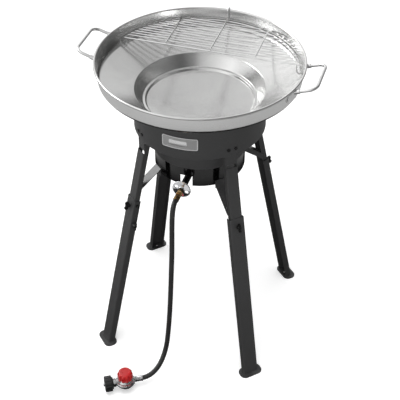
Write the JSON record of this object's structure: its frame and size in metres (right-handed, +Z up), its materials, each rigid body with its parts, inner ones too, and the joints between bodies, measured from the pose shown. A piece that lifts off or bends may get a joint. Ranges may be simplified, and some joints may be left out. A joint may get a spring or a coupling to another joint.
{
  "type": "outdoor gas comal cooker",
  "caption": "Wide round stainless comal pan with a sunken frying well and side rack, on a gas burner stand with telescoping legs, hose and adjustable regulator.",
  "frame": {"origin": "on the ground under the centre of the pan", "axes": "+Z up, -Y towards the gas valve and name plate (front), handles along X"},
  "size_m": [0.656, 0.7249, 0.908],
  "materials": {
    "stainless": "thin polished stainless sheet with fine scratches",
    "bright_wire": "bright plated steel wire and rod",
    "chrome_fittings": "plated steel fittings",
    "black_coat": "satin black powder coat",
    "black_gloss": "glossy black enamel",
    "black_hardware": "black oxide fasteners",
    "plain_plate": "blank brushed plate",
    "cast_iron": "raw cast iron",
    "dark_steel": "dark threaded steel",
    "brass": "machined brass",
    "dark_brass": "tarnished brass",
    "hose_rubber": "matt black rubber hose",
    "zinc": "die-cast zinc with a satin skin",
    "red_dial": "glossy red moulded plastic",
    "black_plastic": "black moulded plastic"
  },
  "bodies": {
    "burner_stand": {"wind_ring": "black_coat", "name_plate": "plain_plate", "ring_screws": "black_hardware", "burner_bowl": "black_coat", "base_shroud": "black_gloss", "shroud_bolts": "black_hardware", "burner_head": "cast_iron", "burner_pipe": "dark_steel", "burner_crossbar": "black_coat", "crossbar_bolts": "black_hardware", "stay_rods": "bright_wire", "shutter_collar": "dark_steel", "orifice_spud": "dark_steel", "orifice_fitting": "brass", "hose_nut": "dark_brass", "gas_hose": "hose_rubber", "hose_ferrule": "chrome_fittings", "regulator_body": "zinc", "regulator_screws": "chrome_fittings", "regulator_inlet": "zinc", "brace_bolts": "black_hardware", "upper_leg_front_left": "black_coat", "upper_leg_front_right": "black_coat", "upper_leg_back_left": "black_coat", "upper_leg_back_right": "black_coat", "brace_front_left": "black_coat", "brace_front_right": "black_coat", "brace_back_left": "black_coat", "brace_back_right": "black_coat"},
    "pan": {"comal_pan": "stainless", "handle_left": "bright_wire", "handle_right": "bright_wire", "handle_brackets": "chrome_fittings"},
    "rack": {"rack_frame": "bright_wire", "rack_wires": "bright_wire", "rack_cross_wires": "bright_wire"},
    "shutter": {"air_shutter": "chrome_fittings"},
    "dial": {"regulator_dial": "red_dial"},
    "tank_connector": {"tank_nut": "black_plastic"},
    "leg_front_left": {"lower_leg_front_left": "black_coat", "foot_front_left": "black_gloss", "guide_bolt_front_left": "black_hardware"},
    "web_clamp_front_left": {"web_screw_front_left": "black_hardware"},
    "side_clamp_front_left": {"side_screw_front_left": "black_hardware"},
    "leg_front_right": {"lower_leg_front_right": "black_coat", "foot_front_right": "black_gloss"},
    "web_clamp_front_right": {"web_screw_front_right": "black_hardware"},
    "leg_back_left": {"lower_leg_back_left": "black_coat", "foot_back_left": "black_gloss"},
    "web_clamp_back_left": {"web_screw_back_left": "black_hardware"},
    "leg_back_right": {"lower_leg_back_right": "black_coat", "foot_back_right": "black_gloss", "guide_bolt_back_right": "black_hardware"},
    "web_clamp_back_right": {"web_screw_back_right": "black_hardware"},
    "side_clamp_back_right": {"side_screw_back_right": "black_hardware"}
  },
  "joints": [
    {"name": "pan_lift", "type": "slide", "parent": "burner_stand", "child": "pan", "axis": [0, 0, 1], "range_m": [0, 0.3]},
    {"name": "rack_lift", "type": "slide", "parent": "pan", "child": "rack", "axis": [0, 0, 1], "range_m": [0, 0.2]},
    {"name": "shutter_turn", "type": "hinge", "parent": "burner_stand", "child": "shutter", "pos_m": [0, -0.168, 0.59], "axis": [0, 1, 0], "range_deg": [0, 90]},
    {"name": "dial_turn", "type": "hinge", "parent": "burner_stand", "child": "dial", "pos_m": [-0.1045, -0.3903, 0.041], "axis": [0, 0, 1], "range_deg": [0, 900]},
    {"name": "tank_nut_spin", "type": "hinge", "parent": "burner_stand", "child": "tank_connector", "pos_m": [-0.14767, -0.41553, 0.028], "axis": [-0.8634, -0.5045, 0], "continuous": true},
    {"name": "leg_slide_front_left", "type": "slide", "parent": "burner_stand", "child": "leg_front_left", "axis": [0.1481, 0.1481, 0.9778], "range_m": [0, 0.15]},
    {"name": "web_screw_turn_front_left", "type": "hinge", "parent": "leg_front_left", "child": "web_clamp_front_left", "pos_m": [-0.1559, -0.1559, 0.488], "axis": [-0.6914, -0.6914, 0.2094], "range_deg": [0, 450]},
    {"name": "side_screw_turn_front_left", "type": "hinge", "parent": "leg_front_left", "child": "side_clamp_front_left", "pos_m": [-0.14153, -0.17243, 0.43499], "axis": [0.7071, -0.7071, 0], "range_deg": [0, 450]},
    {"name": "leg_slide_front_right", "type": "slide", "parent": "burner_stand", "child": "leg_front_right", "axis": [-0.1481, 0.1481, 0.9778], "range_m": [0, 0.15]},
    {"name": "web_screw_turn_front_right", "type": "hinge", "parent": "leg_front_right", "child": "web_clamp_front_right", "pos_m": [0.1559, -0.1559, 0.488], "axis": [0.6914, -0.6914, 0.2094], "range_deg": [0, 450]},
    {"name": "leg_slide_back_left", "type": "slide", "parent": "burner_stand", "child": "leg_back_left", "axis": [0.1481, -0.1481, 0.9778], "range_m": [0, 0.15]},
    {"name": "web_screw_turn_back_left", "type": "hinge", "parent": "leg_back_left", "child": "web_clamp_back_left", "pos_m": [-0.1559, 0.1559, 0.488], "axis": [-0.6914, 0.6914, 0.2094], "range_deg": [0, 450]},
    {"name": "leg_slide_back_right", "type": "slide", "parent": "burner_stand", "child": "leg_back_right", "axis": [-0.1481, -0.1481, 0.9778], "range_m": [0, 0.15]},
    {"name": "web_screw_turn_back_right", "type": "hinge", "parent": "leg_back_right", "child": "web_clamp_back_right", "pos_m": [0.1559, 0.1559, 0.488], "axis": [0.6914, 0.6914, 0.2094], "range_deg": [0, 450]},
    {"name": "side_screw_turn_back_right", "type": "hinge", "parent": "leg_back_right", "child": "side_clamp_back_right", "pos_m": [0.14153, 0.17243, 0.43499], "axis": [-0.7071, 0.7071, 0], "range_deg": [0, 450]}
  ]
}
